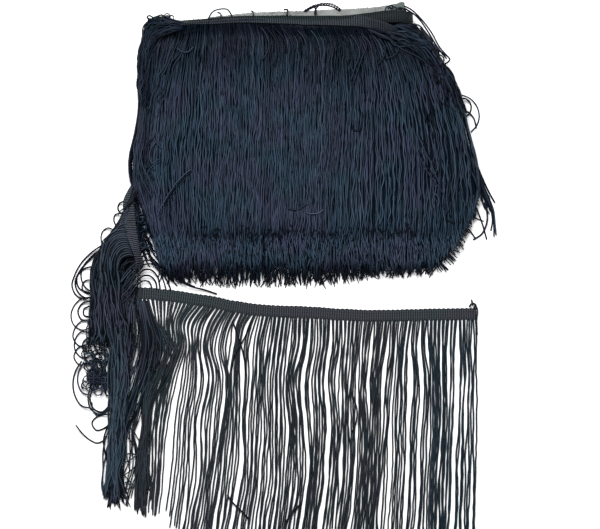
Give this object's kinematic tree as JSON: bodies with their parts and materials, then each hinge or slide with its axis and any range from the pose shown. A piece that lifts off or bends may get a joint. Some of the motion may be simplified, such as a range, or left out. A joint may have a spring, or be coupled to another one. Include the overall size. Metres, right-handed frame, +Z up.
{
  "type": "wound tassel fringe trim",
  "caption": "Long black tassel fringe wound flat on a pale card, its loose end falling at the left and laid out in front.",
  "frame": {"origin": "on the surface the trim lies on, under the middle of the whole object", "axes": "+Z up from the surface, +Y from the strands' free ends up to the card, +X to the right along the header tape"},
  "size_m": [0.3892, 0.4934, 0.033],
  "materials": {
    "card": "pulp board, worn and mottled",
    "header_tape": "ribbed knitted tape",
    "wound_yarn": "knitted cord strands, soft sheen",
    "loose_yarn": "knitted cord strands, soft sheen",
    "laid_yarn": "knitted cord strands, soft sheen"
  },
  "bodies": {
    "root": {"card_core": "card", "header_turns": "header_tape", "wound_fringe": "wound_yarn", "side_fall": "loose_yarn", "front_run": "laid_yarn"}
  },
  "joints": []
}
